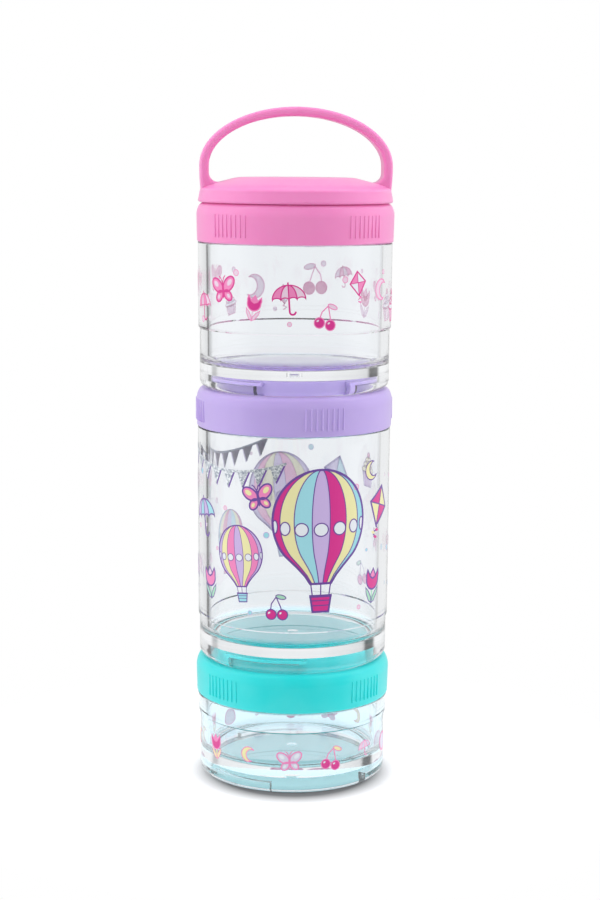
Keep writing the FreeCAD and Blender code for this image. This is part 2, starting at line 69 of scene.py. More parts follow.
def perMetre(sizeMm):
    # texture scale that makes one feature of a pattern this many millimetres wide
    return 1 / (sizeMm * mm)


def mixColours(hexColour, towards, share):
    base, other = linear(hexColour), linear(towards)
    return [a + (b - a) * share for a, b in zip(base, other)]


# moulded polypropylene: satin skin with the fine spark-eroded grain of the mould, colour a little cloudy, and
# light that seeps through its thin walls, so seams and undersides glow in a deeper shade, not black
lidPlastic = {"grainMm": 0.35, "grainDetail": 2.0, "cloudMm": 9.0, "cloudDetail": 3.0, "cloudShare": 0.025,
              "cloudDark": "#2a1030", "cloudEdges": (0.3, 0.7), "rough": (0.3, 0.4), "ior": 1.49,
              "shine": 0.8, "bump": 0.008, "bumpShare": 0.35, "glow": 0.6, "glowMm": 0.9,
              "glowTint": (1.0, 0.8, 0.9)}


def makePolypropylene(name, hexColour):
    material, tree, out = newMaterial(name)
    coords = addNode(tree, "ShaderNodeTexCoord").outputs["Object"]
    cloud = addNode(tree, "ShaderNodeTexNoise", {"Vector": coords, "Scale": perMetre(lidPlastic["cloudMm"]),
                                                 "Detail": lidPlastic["cloudDetail"]})
    grain = addNode(tree, "ShaderNodeTexNoise", {"Vector": coords, "Scale": perMetre(lidPlastic["grainMm"]),
                                                 "Detail": lidPlastic["grainDetail"]})
    ramp = addNode(tree, "ShaderNodeValToRGB", {"Fac": cloud.outputs["Fac"]})
    dark, pale = ramp.color_ramp.elements
    dark.position, pale.position = lidPlastic["cloudEdges"]
    dark.color = mixColours(hexColour, lidPlastic["cloudDark"], lidPlastic["cloudShare"] / 2)
    pale.color = mixColours(hexColour, "#ffffff", lidPlastic["cloudShare"])
    smoothest, roughest = lidPlastic["rough"]
    rough = addNode(tree, "ShaderNodeMapRange", {"Value": grain.outputs["Fac"], "To Min": smoothest,
                                                 "To Max": roughest})
    bump = addNode(tree, "ShaderNodeBump", {
        "Height": grain.outputs["Fac"], "Strength": lidPlastic["bumpShare"],
        "Distance": lidPlastic["bump"] * mm})
    shader = addNode(tree, "ShaderNodeBsdfPrincipled", {
        "Base Color": ramp.outputs["Color"], "Roughness": rough.outputs["Result"],
        "Normal": bump.outputs["Normal"], "IOR": lidPlastic["ior"], "Specular IOR Level": lidPlastic["shine"],
        "Subsurface Weight": lidPlastic["glow"], "Subsurface Radius": lidPlastic["glowTint"],
        "Subsurface Scale": lidPlastic["glowMm"] * mm})
    tree.links.new(shader.outputs["BSDF"], out.inputs["Surface"])
    return material


# moulded clear copolyester: polished mould, thick bright walls with a faint ripple from the flow of the melt
cupPlastic = {"tint": "#fbfdff", "shadow": "#f7f9fb", "ior": 1.54, "rippleMm": 14.0, "rippleDetail": 1.0,
              "stretch": (1.0, 1.0, 0.35), "bump": 0.02, "bumpShare": 0.3, "rough": (0.01, 0.03)}


def makeCopolyester(name):
    material, tree, out = newMaterial(name)
    coords = addNode(tree, "ShaderNodeTexCoord").outputs["Object"]
    stretched = addNode(tree, "ShaderNodeMapping", {"Vector": coords, "Scale": cupPlastic["stretch"]})
    ripple = addNode(tree, "ShaderNodeTexNoise", {
        "Vector": stretched.outputs["Vector"], "Scale": perMetre(cupPlastic["rippleMm"]),
        "Detail": cupPlastic["rippleDetail"]})
    smoothest, roughest = cupPlastic["rough"]
    rough = addNode(tree, "ShaderNodeMapRange", {"Value": ripple.outputs["Fac"], "To Min": smoothest,
                                                 "To Max": roughest})
    bump = addNode(tree, "ShaderNodeBump", {
        "Height": ripple.outputs["Fac"], "Strength": cupPlastic["bumpShare"],
        "Distance": cupPlastic["bump"] * mm})
    glass = addNode(tree, "ShaderNodeBsdfPrincipled", {
        "Base Color": linear(cupPlastic["tint"]), "Roughness": rough.outputs["Result"],
        "IOR": cupPlastic["ior"], "Transmission Weight": 1.0, "Normal": bump.outputs["Normal"]})
    # lamps shine through the walls on to what is inside
    clear = addNode(tree, "ShaderNodeBsdfTransparent", {"Color": linear(cupPlastic["shadow"])})
    path = addNode(tree, "ShaderNodeLightPath")
    mix = addNode(tree, "ShaderNodeMixShader", {0: path.outputs["Is Shadow Ray"], 1: glass.outputs["BSDF"],
                                                2: clear.outputs["BSDF"]})
    tree.links.new(mix.outputs["Shader"], out.inputs["Surface"])
    return material


# moulded silicone: milky soft ring, matt with a dusty bloom
sealRubber = {"colour": "#e9e7e2", "dust": "#b9b4ac", "dustShare": 0.3, "bloomMm": 0.6, "rough": (0.5, 0.62),
              "ior": 1.41, "bump": 0.02, "bumpShare": 0.2, "glow": 0.25, "glowMm": 0.8,
              "glowTint": (1.0, 0.95, 0.9)}


def makeSilicone(name):
    material, tree, out = newMaterial(name)
    coords = addNode(tree, "ShaderNodeTexCoord").outputs["Object"]
    bloom = addNode(tree, "ShaderNodeTexNoise", {"Vector": coords, "Scale": perMetre(sealRubber["bloomMm"])})
    smoothest, roughest = sealRubber["rough"]
    rough = addNode(tree, "ShaderNodeMapRange", {"Value": bloom.outputs["Fac"], "To Min": smoothest,
                                                 "To Max": roughest})
    shade = addNode(tree, "ShaderNodeValToRGB", {"Fac": bloom.outputs["Fac"]})
    dusty, clean = shade.color_ramp.elements
    dusty.color = mixColours(sealRubber["colour"], sealRubber["dust"], sealRubber["dustShare"])
    clean.color = linear(sealRubber["colour"])
    bump = addNode(tree, "ShaderNodeBump", {
        "Height": bloom.outputs["Fac"], "Strength": sealRubber["bumpShare"],
        "Distance": sealRubber["bump"] * mm})
    shader = addNode(tree, "ShaderNodeBsdfPrincipled", {
        "Base Color": shade.outputs["Color"], "Roughness": rough.outputs["Result"], "IOR": sealRubber["ior"],
        "Subsurface Weight": sealRubber["glow"], "Subsurface Radius": sealRubber["glowTint"],
        "Subsurface Scale": sealRubber["glowMm"] * mm, "Normal": bump.outputs["Normal"]})
    tree.links.new(shader.outputs["BSDF"], out.inputs["Surface"])
    return material


# screen-printed ink: a thin even film with a slight screen tooth; its underside, seen from inside the cup, is
# lit through from behind, and its colour is mixed paler as painted light for that backlight
inkFilm = {"toothMm": 0.25, "toothDark": 0.94, "rough": (0.28, 0.4), "ior": 1.5, "bump": 0.01,
           "bumpShare": 0.15, "paler": "#f4f1f8", "paintedBacklightShare": 0.5, "through": 0.65}


def makeInk(name, hexColour, paintedBacklightMix=0.0):
    material, tree, out = newMaterial(name)
    coords = addNode(tree, "ShaderNodeTexCoord").outputs["Object"]
    tooth = addNode(tree, "ShaderNodeTexNoise", {"Vector": coords, "Scale": perMetre(inkFilm["toothMm"])})
    smoothest, roughest = inkFilm["rough"]
    rough = addNode(tree, "ShaderNodeMapRange", {"Value": tooth.outputs["Fac"], "To Min": smoothest,
                                                 "To Max": roughest})
    colour = addNode(tree, "ShaderNodeValToRGB", {"Fac": tooth.outputs["Fac"]})
    # an underside's colour is mixed paler: painted backlight
    plain = mixColours(hexColour, inkFilm["paler"], paintedBacklightMix)
    dark, pale = colour.color_ramp.elements
    dark.color = [c * inkFilm["toothDark"] for c in plain[:3]] + [1.0]
    pale.color = plain
    bump = addNode(tree, "ShaderNodeBump", {
        "Height": tooth.outputs["Fac"], "Strength": inkFilm["bumpShare"], "Distance": inkFilm["bump"] * mm})
    shader = addNode(tree, "ShaderNodeBsdfPrincipled", {
        "Base Color": colour.outputs["Color"], "Roughness": rough.outputs["Result"], "IOR": inkFilm["ior"],
        "Normal": bump.outputs["Normal"]})
    lit = addNode(tree, "ShaderNodeBsdfTranslucent", {"Color": colour.outputs["Color"]})
    mix = addNode(tree, "ShaderNodeMixShader", {0: inkFilm["through"] if paintedBacklightMix else 0.0,
                                                1: shader.outputs["BSDF"], 2: lit.outputs["BSDF"]})
    # each side of the film shows only from in front, so neither shades the other
    inside = addNode(tree, "ShaderNodeNewGeometry").outputs["Backfacing"]
    clear = addNode(tree, "ShaderNodeBsdfTransparent")
    mix = addNode(tree, "ShaderNodeMixShader", {0: inside, 1: mix.outputs["Shader"],
                                                2: clear.outputs["BSDF"]})
    tree.links.new(mix.outputs["Shader"], out.inputs["Surface"])
    return material


# glitter ink: silver flakes at all angles in a clear binder, so neighbouring flakes flash light and dark
glitterInk = {"flakeMm": 0.55, "dark": "#8e98a8", "bright": "#f2f7f9", "metal": 0.35, "rough": 0.3,
              "bump": 0.05, "bumpShare": 0.5, "underside": "#b9bfd0", "paintedBacklightShare": 0.4}


def makeGlitter(name):
    material, tree, out = newMaterial(name)
    coords = addNode(tree, "ShaderNodeTexCoord").outputs["Object"]
    flakes = addNode(tree, "ShaderNodeTexVoronoi", {"Vector": coords,
                                                    "Scale": perMetre(glitterInk["flakeMm"])})
    shade = addNode(tree, "ShaderNodeSeparateColor", {"Color": flakes.outputs["Color"]})
    colour = addNode(tree, "ShaderNodeValToRGB", {"Fac": shade.outputs["Red"]})
    dark, bright = colour.color_ramp.elements
    dark.color, bright.color = linear(glitterInk["dark"]), linear(glitterInk["bright"])
    bump = addNode(tree, "ShaderNodeBump", {
        "Height": shade.outputs["Green"], "Strength": glitterInk["bumpShare"],
        "Distance": glitterInk["bump"] * mm})
    shader = addNode(tree, "ShaderNodeBsdfPrincipled", {
        "Base Color": colour.outputs["Color"], "Metallic": glitterInk["metal"],
        "Roughness": glitterInk["rough"], "Normal": bump.outputs["Normal"]})
    tree.links.new(shader.outputs["BSDF"], out.inputs["Surface"])
    return material


lidColours = {"pink": "#f08cc8", "purple": "#bda8e4", "teal": "#06dcdd"}
plastics = {colour: makePolypropylene(f"moulded polypropylene {colour}", code)
            for colour, code in lidColours.items()}
clearPlastic = makeCopolyester("moulded clear copolyester")
silicone = makeSilicone("moulded silicone")


def dress(node, material):
    slots = nodes[node].material_slots
    if not slots:
        nodes[node].data.materials.append(material)
    for slot in slots:
        slot.material = material


for colour in lidColours:
    dress(f"{colour}_lid", plastics[colour])
    dress(f"{colour}_seal", silicone)
dress("carrying_cap", plastics["pink"])
for tier in ("lower", "middle", "upper"):
    dress(f"{tier}_cup", clearPlastic)
print("materials on the CAD pieces")


# printed artwork: drawn flat in millimetres, x to the right and y up, then wrapped round a cup's wall
# each mark is (kind, points, ink, layer, line width, closed), and a picture is a list of marks
# most pictures are drawn about the origin, one unit tall, and placed() gives them their size
def oval(cx, cy, rx, ry=None, turn=0.0, start=0.0, end=360.0, count=32):
    ry = rx if ry is None else ry
    c, s = math.cos(math.radians(turn)), math.sin(math.radians(turn))
    points = []
    for k in range(count if end - start >= 360 else count + 1):
        a = math.radians(start + (end - start) * k / count)
        x, y = rx * math.cos(a), ry * math.sin(a)
        points.append((cx + x * c - y * s, cy + x * s + y * c))
    return points


def fill(points, ink, layer=1):
    return [("fill", points, ink, layer, 0.0, True)]


def line(points, ink, width, layer=2, closed=False):
    return [("line", points, ink, layer, width, closed)]


def outlined(points, ink, edge, width, layer=1):
    return fill(points, ink, layer) + line(points, edge, width, layer + 1, closed=True)


def mirrored(points):
    return [(-x, y) for x, y in reversed(points)]


def butterfly(wing, spot, edge):
    upper, lower = oval(0.27, 0.16, 0.30, 0.19, 40), oval(0.20, -0.20, 0.20, 0.14, -48)
    marks = []
    for points in (lower, mirrored(lower), upper, mirrored(upper)):
        marks += outlined(points, wing, edge, 0.055)
    for side in (1, -1):
        marks += fill(oval(0.32 * side, 0.21, 0.13, 0.08, 40 * side), spot, 3)
        marks += fill(oval(0.23 * side, -0.22, 0.08, 0.055, -48 * side), spot, 3)
        marks += line([(0.02 * side, 0.26), (0.07 * side, 0.38), (0.15 * side, 0.45)], edge, 0.035, 3)
    return marks + fill(oval(0, 0.0, 0.045, 0.3), edge, 4)


def tulip(petal, inner, leaf, edge):
    bend = [math.radians(a) for a in range(8, 100, 10)]
    side = [(0.3 * math.sin(a), 0.28 - 0.3 * math.cos(a)) for a in bend]
    right = side + [(0.315, 0.42), (0.28, 0.56), (0.19, 0.45), (0.13, 0.36)]
    cup = right + [(0.0, 0.3)] + mirrored(right)
    middle = [(-0.15, 0.3), (0.0, 0.14), (0.15, 0.3), (0.12, 0.44), (0.0, 0.6), (-0.12, 0.44)]
    blade = [(0.0, -0.42), (0.13, -0.36), (0.27, -0.14), (0.31, 0.04), (0.16, -0.08), (0.03, -0.27)]
    marks = line([(0.0, 0.0), (0.0, -0.45)], leaf, 0.07, 1)
    for points in (blade, mirrored(blade)):
        marks += outlined(points, leaf, edge, 0.03)
    return marks + outlined(middle, inner, edge, 0.045) + outlined(cup, petal, edge, 0.05, 3)


def umbrella(panel, other, edge):
    top, marks = (0.0, 0.42), []
    seams = [-0.5, -0.24, 0.0, 0.24, 0.5]
    bend = [math.radians(a) for a in range(9, 90, 9)]
    for k, (left, right) in enumerate(zip(seams, seams[1:])):
        hem = oval((left + right) / 2, -0.02, (right - left) / 2, 0.07, 0, 0, 180, 10)
        ribs = [[(foot * math.sin(a), 0.44 * math.cos(a) - 0.02) for a in bend] for foot in (left, right)]
        points = hem + list(reversed(ribs[0])) + [top] + ribs[1]
        marks += outlined(points, panel if k % 2 else other, edge, 0.035)
    stem = [(0.0, 0.02), (0.0, -0.36)] + oval(0.09, -0.37, 0.09, 0.09, 0, 180, 360, 8)
    return line(stem, edge, 0.055, 1) + marks + line([(0.0, 0.4), (0.0, 0.5)], edge, 0.045, 3)


def cherries(fruit, shine, leaf, edge):
    marks = []
    for x, y in ((-0.23, -0.24), (0.21, -0.3)):
        marks += line([(x, y + 0.17), (x * 0.7, y + 0.42), (0.06, 0.42)], edge, 0.045, 1)
        marks += outlined(oval(x, y, 0.2), fruit, edge, 0.04)
        marks += fill(oval(x - 0.07, y + 0.07, 0.055, 0.035, 35), shine, 3)
    return marks + outlined(oval(0.24, 0.4, 0.2, 0.085, -18), leaf, edge, 0.035)


def kite(panel, other, edge):
    top, right, foot, left, hub = (0, 0.5), (0.33, 0.13), (0, -0.3), (-0.33, 0.13), (0, 0.13)
    marks = []
    for k, corners in enumerate(((top, left, hub), (hub, right, top), (left, foot, hub), (hub, foot, right))):
        marks += fill(list(corners), (panel, other, other, panel)[k])
    marks += line([top, left, foot, right], edge, 0.045, 2, closed=True)
    marks += line([left, right], edge, 0.025, 3) + line([top, foot], edge, 0.025, 3)
    tail = [(0.07 * math.sin(t * 0.75), -0.3 - t * 0.024) for t in range(0, 11)]
    marks += line(tail, edge, 0.03, 1)
    for k in (3, 6, 9):
        x, y = tail[k]
        bow = [(x, y + 0.035), (x + 0.075, y), (x, y - 0.035), (x - 0.075, y)]
        marks += fill(bow, panel if k % 2 else other, 2)
    return marks


def moon(ink, edge):
    outer = oval(0, 0, 0.42, 0.42, 0, 50, 310, 30)
    inner = oval(0.2, 0, 0.33, 0.325, 0, 80, 280, 24)
    return outlined(outer + list(reversed(inner)), ink, edge, 0.05)


def cupcake(case, stripe, icing, berry, edge):
    marks = outlined([(-0.25, -0.45), (0.25, -0.45), (0.35, -0.05), (-0.35, -0.05)], case, edge, 0.04)
    for x in (-0.18, 0.0, 0.18):
        marks += line([(x * 0.82, -0.43), (x * 1.1, -0.08)], stripe, 0.06, 3)
    for y, half, tall in ((0.02, 0.41, 0.12), (0.16, 0.31, 0.11), (0.29, 0.2, 0.1)):
        marks += outlined(oval(0, y, half, tall), icing, edge, 0.04, 4)
    return marks + outlined(oval(0, 0.43, 0.085), berry, edge, 0.03, 5)


def bubble(ink, edge):
    return outlined(oval(0, 0, 0.4, count=24), ink, edge, 0.09)


def airBalloon(inks, band, edge, basket):
    # teardrop envelope in gores, a band of discs round its middle, ropes and a wicker basket
    half = [(0.075, -0.3), (0.115, -0.24), (0.17, -0.18)] + oval(0, 0.14, 0.34, 0.36, 0, -42, 90, 26)
    cuts = [math.sin(math.radians(a)) for a in (-90, -58, -34, -11, 11, 34, 58, 90)]
    marks = []
    for k, (a, b) in enumerate(zip(cuts, cuts[1:])):
        gore = [(x * b, y) for x, y in half[:-1]] + [(0.0, half[-1][1])]
        gore += [(x * a, y) for x, y in reversed(half[:-1])]
        marks += fill(gore, inks[k % len(inks)])
        marks += line([(x * b, y) for x, y in half], edge, 0.007, 2)
    for k in range(-3, 4):
        across, facing = 0.34 * math.sin(math.radians(24 * k)), math.cos(math.radians(24 * k))
        disc = oval(across, 0.11 - 0.03 * facing, max(0.34 * facing * 0.15, 0.018), 0.046, count=20)
        marks += outlined(disc, band, edge, 0.008, 3)
    marks += line(half + mirrored(half), edge, 0.016, 4, closed=True)
    for x in (-0.06, 0.0, 0.06):
        marks += line([(x * 1.2, -0.3), (x, -0.385)], edge, 0.009, 1)
    marks += outlined([(-0.075, -0.385), (-0.058, -0.5), (0.058, -0.5), (0.075, -0.385)], basket, edge, 0.014)
    for y in (-0.42, -0.455):
        marks += line([(-0.067, y), (0.067, y)], edge, 0.007, 3)
    return marks + line([(-0.082, -0.388), (0.082, -0.388)], edge, 0.018, 4)


# pennants of the bunting: string width in mm, where a flag starts and ends in its place on the string, how
# much it leans with the string, and how far its shade is shifted to the right and down in mm
pennants = {"string": 0.9, "steps": 24, "ends": (0.12, 0.88), "lean": 0.2, "shade": (0.5, 0.35)}


def bunting(width, sag, flags, tall, ink, shade):
    # a slack string of pennants, each with a shade peeping out at its lower right
    def string(t):
        return ((t - 0.5) * width, -sag * (1 - (2 * t - 1) ** 2))

    steps = pennants["steps"]
    marks = line([string(k / steps) for k in range(steps + 1)], ink, pennants["string"], 3)
    right, down = pennants["shade"]
    for k in range(flags):
        (x0, y0), (x1, y1) = [string((k + end) / flags) for end in pennants["ends"]]
        tip = ((x0 + x1) / 2 + (y0 - y1) * pennants["lean"], (y0 + y1) / 2 - tall)
        flag = [(x0, y0), tip, (x1, y1)]
        marks += fill(flag, ink, 2)
        marks += fill([(x + right, y - down) for x, y in flag], shade, 1)
    return marks


def placed(marks, size, angle, height, turn=0.0):
    # a picture at a size in millimetres, at an angle to the right of the front and a height on the wall
    c, s = math.cos(math.radians(turn)) * size, math.sin(math.radians(turn)) * size
    moved = [(kind, [(x * c - y * s, x * s + y * c) for x, y in points], ink, layer, width * size, closed)
             for kind, points, ink, layer, width, closed in marks]
    return angle, height, moved


# how the ink lies on the wall, in mm: gap to the wall, layer heights, film thickness, the widest flat strip
# round the curve, how far a line's corner may reach out in half line widths, and the steps that feel the wall
film = {"clear": 0.035, "layer": 0.02, "thick": 0.012, "strip": 1.2, "bead": 2.2, "sharpest": 0.2,
        "tiny": 1e-6, "feelStep": 0.5, "feelFrom": (100.0, 0.3)}


def flatMark(mark):
    # one mark as a flat bmesh, cut into strips that can follow the wall
    kind, points, ink, layer, width, closed = mark
    bm = bmesh.new()
    if kind == "fill":
        face = bm.faces.new([bm.verts.new((x, y, 0)) for x, y in points])
        face.normal_update()
        bmesh.ops.triangulate(bm, faces=[face])
    else:
        count = len(points)
        rails = []
        for k, (x, y) in enumerate(points):
            before = points[k - 1] if closed or k else points[k]
            after = points[(k + 1) % count] if closed or k < count - 1 else points[k]
            ways = [Vector((x - before[0], y - before[1])), Vector((after[0] - x, after[1] - y))]
            ways = [w.normalized() for w in ways if w.length > film["tiny"]]
            way = sum(ways, Vector((0.0, 0.0))).normalized()
            reach = min(1 / max(way.dot(ways[0]), film["sharpest"]), film["bead"]) * width / 2
            rails.append((bm.verts.new((x - way.y * reach, y + way.x * reach, 0)),
                          bm.verts.new((x + way.y * reach, y - way.x * reach, 0))))
        for k in range(count if closed else count - 1):
            (a, b), (c, d) = rails[k], rails[(k + 1) % count]
            bm.faces.new((b, d, c, a))
    low = min(v.co.x for v in bm.verts)
    high = max(v.co.x for v in bm.verts)
    for k in range(math.ceil(low / film["strip"]), math.floor(high / film["strip"]) + 1):
        bmesh.ops.bisect_plane(bm, geom=bm.verts[:] + bm.edges[:] + bm.faces[:],
                               plane_co=(k * film["strip"], 0, 0), plane_no=(1, 0, 0))
    for face in bm.faces:
        face.normal_update()
        if face.normal.z < 0:
            face.normal_flip()
    bm.verts.index_update()
    return bm


def wallProfile(cup):
    # outside radius of a cup's wall against height, felt with rays from outside
    low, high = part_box(cup)
    levels = {}
    step = film["feelStep"] * mm
    x, y = (v * mm for v in film["feelFrom"])
    for k in range(int((high[2] - low[2]) / step)):
        z = low[2] + (k + 0.5) * step
        hit, place = nodes[cup].ray_cast(Vector((x, y, z)), Vector((-1, 0, 0)))[:2]
        levels[k] = place.xy.length if hit else 0.0
    return lambda z: levels[min(max(int((z - low[2]) / step), 0), len(levels) - 1)]


def printCup(cup, pictures):
    wall = wallProfile(cup)
    verts, faces, slots = [], [], []
    inkNames = sorted({mark[2] for angle, height, marks in pictures for mark in marks})
    for angle, height, marks in pictures:
        middle = wall(height * mm)
        for mark in marks:
            bm = flatMark(mark)
            lift = (film["clear"] + film["layer"] * mark[3]) * mm
            first = len(verts)
            for v in bm.verts:
                z = height * mm + v.co.y * mm
                turn = math.radians(angle) + v.co.x * mm / middle
                for rise in (lift, lift + film["thick"] * mm):
                    r = wall(z) + rise
                    verts.append((r * math.sin(turn), -r * math.cos(turn), z))
            ink = 2 * inkNames.index(mark[2])
            for face in bm.faces:
                ids = [first + 2 * v.index for v in face.verts]
                faces.append([k + 1 for k in ids])
                faces.append(ids[::-1])
                slots += [ink, ink + 1]
            for edge in bm.edges:
                if len(edge.link_loops) == 1:
                    loop = edge.link_loops[0]
                    a, b = first + 2 * loop.vert.index, first + 2 * loop.link_loop_next.vert.index
                    faces.append([a, b, b + 1, a + 1])
                    slots.append(ink)
            bm.free()
    mesh = bpy.data.meshes.new(f"{cup}_print")
    mesh.from_pydata(verts, [], faces)
    for name in inkNames:
        mesh.materials.append(inks[name])
        mesh.materials.append(backs[name])
    mesh.polygons.foreach_set("material_index", slots)
    mesh.update()
    piece = bpy.data.objects.new(f"{cup}_print", mesh)
    scene.collection.objects.link(piece)
    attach(piece, cup)
    print(f"{cup} printed: {len(pictures)} pictures, {len(faces)} faces")


# inks of the artwork; from behind, through the cup, each shows its underside, mixed paler as painted
# backlight
inkColours = {"hotPink": "#d8318f", "pink": "#ee86bd", "palePink": "#e9cfe2", "lilac": "#c9b3e3",
              "paleLilac": "#d6d4e6", "purple": "#6f4c9f", "cream": "#ece7ad", "sky": "#9fdbe6",
              "mint": "#a9dcc0", "white": "#e6ebf2"}
inks = {name: makeInk(f"screen printed ink {name}", code) for name, code in inkColours.items()}
backs = {name: makeInk(f"screen printed ink {name} underside", code, inkFilm["paintedBacklightShare"])
         for name, code in inkColours.items()}
inks["silver"] = makeGlitter("glitter ink silver")
# the glitter's underside is mixed paler as painted backlight too
backs["silver"] = makeInk("glitter ink silver underside", glitterInk["underside"], glitterInk["paintedBacklightShare"])

upperBand = [butterfly("pink", "palePink", "hotPink"), tulip("hotPink", "pink", "palePink", "pink"),
             umbrella("palePink", "pink", "hotPink"), cherries("hotPink", "palePink", "palePink", "pink"),
             kite("pink", "white", "hotPink"), moon("palePink", "pink"),
             cupcake("palePink", "pink", "white", "hotPink", "hotPink")]
lowerBand = [tulip("hotPink", "pink", "cream", "pink"), moon("cream", "pink"),
             butterfly("paleLilac", "white", "pink"), cherries("hotPink", "white", "cream", "pink"),
             umbrella("paleLilac", "palePink", "pink"), bubble("paleLilac", "pink")]


# bands of small pictures: how many, the first one's angle, and in turn their heights on the wall, sizes and
# tilts
rocking = (7, -11, 4, -5)
upperRow = {"count": 17, "first": -50, "heights": (177, 170.5, 174.5, 168.5, 178.5),
            "sizes": (10.5, 8.5, 11.5, 9), "tilts": rocking}
upperBubbles = {"count": 11, "first": -40, "heights": (183, 166, 181), "sizes": (2.6, 1.9), "tilts": rocking}
lowerRow = {"count": 14, "first": -57, "heights": (12.6, 13.6, 12.2), "sizes": (8.6, 6.4, 8.2),
            "tilts": rocking}


def bandPictures(drawings, row):
    # the drawings in turn round the wall
    pictures = []
    for k in range(row["count"]):
        height, size, tilt = [row[key][k % len(row[key])] for key in ("heights", "sizes", "tilts")]
        angle = row["first"] + 360 * k / row["count"]
        pictures.append(placed(drawings[k % len(drawings)], size, angle, height, tilt))
    return pictures


upperPrint = bandPictures(upperBand, upperRow)
upperPrint += bandPictures([bubble("palePink", "pink")], upperBubbles)
lowerPrint = bandPictures(lowerBand, lowerRow)

grandBalloon = airBalloon(("hotPink", "cream", "sky", "lilac"), "white", "purple", "hotPink")
smallBalloon = airBalloon(("lilac", "cream", "pink"), "white", "purple", "sky")
middlePrint = [placed(grandBalloon, 50, 12, 91), placed(smallBalloon, 27, -37, 82, 6),
               placed(bunting(50, 5, 8, 6.0, "silver", "purple"), 1, -50, 119.5, -3),
               placed(kite("hotPink", "cream", "purple"), 18, 56, 99, -16),
               placed(butterfly("pink", "cream", "purple"), 10.5, -25, 106, 12),
               placed(tulip("hotPink", "pink", "mint", "purple"), 12, 50, 71.5, -6),
               placed(cherries("hotPink", "white", "mint", "purple"), 9, -14, 67.5, 8),
               placed(moon("cream", "purple"), 8, 48, 114, 20),
               placed(umbrella("sky", "lilac", "purple"), 15, -70, 96, 10),
               placed(tulip("pink", "palePink", "mint", "purple"), 11, -62, 72, 7),
               placed(smallBalloon, 40, 184, 92, -5), placed(grandBalloon, 24, 228, 80, 8),
               placed(bunting(46, 5, 7, 6.0, "silver", "purple"), 1, 230, 119, 3),
               placed(kite("sky", "lilac", "purple"), 17, 146, 103, 14),
               placed(butterfly("sky", "cream", "purple"), 9.5, 140, 78, -14),
               placed(butterfly("hotPink", "palePink", "purple"), 9, 92, 84, 10),
               placed(cupcake("lilac", "pink", "cream", "hotPink", "purple"), 13, 112, 108),
               placed(cherries("pink", "white", "mint", "purple"), 9, 118, 69, -8),
               placed(tulip("pink", "palePink", "mint", "purple"), 11, 262, 104, 9),
               placed(umbrella("palePink", "pink", "purple"), 13, 266, 74, -12)]
# bubbles between the pictures, at (angle, height)
bubblePlaces = ((-48, 101), (-20, 93), (-55, 86), (-30, 65), (35, 109), (44, 86), (38, 66), (72, 84),
                (76, 110), (80, 70), (100, 98), (128, 94), (158, 72), (164, 114), (206, 112), (212, 72),
                (244, 97), (252, 66), (282, 92), (286, 112))
bubbleSizes = (1.9, 2.6, 1.5)
for k, (angle, height) in enumerate(bubblePlaces):
    picture = bubble("sky", "lilac") if k % 2 else bubble("palePink", "pink")
    middlePrint.append(placed(picture, bubbleSizes[k % len(bubbleSizes)], angle, height))
for cup, pictures in (("upper_cup", upperPrint), ("middle_cup", middlePrint), ("lower_cup", lowerPrint)):
    printCup(cup, pictures)


# screw threads: three starts, right-handed, on the cups' necks and, half a pitch away, in the lids' bores
thread = {"starts": 3, "lead": 12.0, "stepDeg": 3.0, "rampDeg": 10.0, "endShare": 0.08, "rootHalf": 0.72,
          "crestHalf": 0.3,
          "neck": {"root": 32.81, "crest": 33.38, "low": 3.0, "span": 150.0, "first": 0.0},
          "bore": {"root": 33.69, "crest": 33.14, "low": 3.0, "span": 120.0, "first": 60.0}}


def addThread(name, body, where, level, material):
    kind = thread[where]
    bm = bmesh.new()
    steps = round(kind["span"] / thread["stepDeg"])
    for start in range(thread["starts"]):
        rings = []
        for k in range(steps + 1):
            turned = kind["span"] * k / steps
            ease = max(min(min(turned, kind["span"] - turned) / thread["rampDeg"], 1.0), thread["endShare"])
            angle = math.radians(kind["first"] + 360 / thread["starts"] * start + turned)
            z = level + kind["low"] + thread["lead"] * turned / 360
            crest = kind["root"] + (kind["crest"] - kind["root"]) * ease
            ring = []
            for r, dz in ((kind["root"], -thread["rootHalf"]), (crest, -thread["crestHalf"]),
                          (crest, thread["crestHalf"]), (kind["root"], thread["rootHalf"])):
                ring.append(bm.verts.new((r * math.cos(angle) * mm, r * math.sin(angle) * mm, (z + dz) * mm)))
            rings.append(ring)
        for one, two in zip(rings, rings[1:]):
            for k in range(4):
                bm.faces.new((one[k], one[(k + 1) % 4], two[(k + 1) % 4], two[k]))
        bm.faces.new(rings[0][::-1])
        bm.faces.new(rings[-1])
    bmesh.ops.recalc_face_normals(bm, faces=bm.faces[:])
    mesh = bpy.data.meshes.new(name)
    bm.to_mesh(mesh)
    bm.free()
    mesh.materials.append(material)
    piece = bpy.data.objects.new(name, mesh)
    scene.collection.objects.link(piece)
    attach(piece, body)


for cup, colour in (("lower_cup", "teal"), ("middle_cup", "purple"), ("upper_cup", "pink")):
    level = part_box(f"{colour}_lid")[0][2] / mm
    addThread(f"{cup}_thread", cup, "neck", level, clearPlastic)
    addThread(f"{colour}_lid_thread", f"{colour}_lid", "bore", level, plastics[colour])
print("threads cut")


# camera of the photograph: fitted focal length, height, tilt and slight roll, a little left of the front
camera = {"focalPx": 1908.6, "imageHeight": 900, "sensorMm": 36.0, "distance": 680.0, "height": 222.11,
          "aside": 2.221, "pitch": 8.725, "roll": 0.424, "yaw": -4.5, "clip": (0.01, 50)}


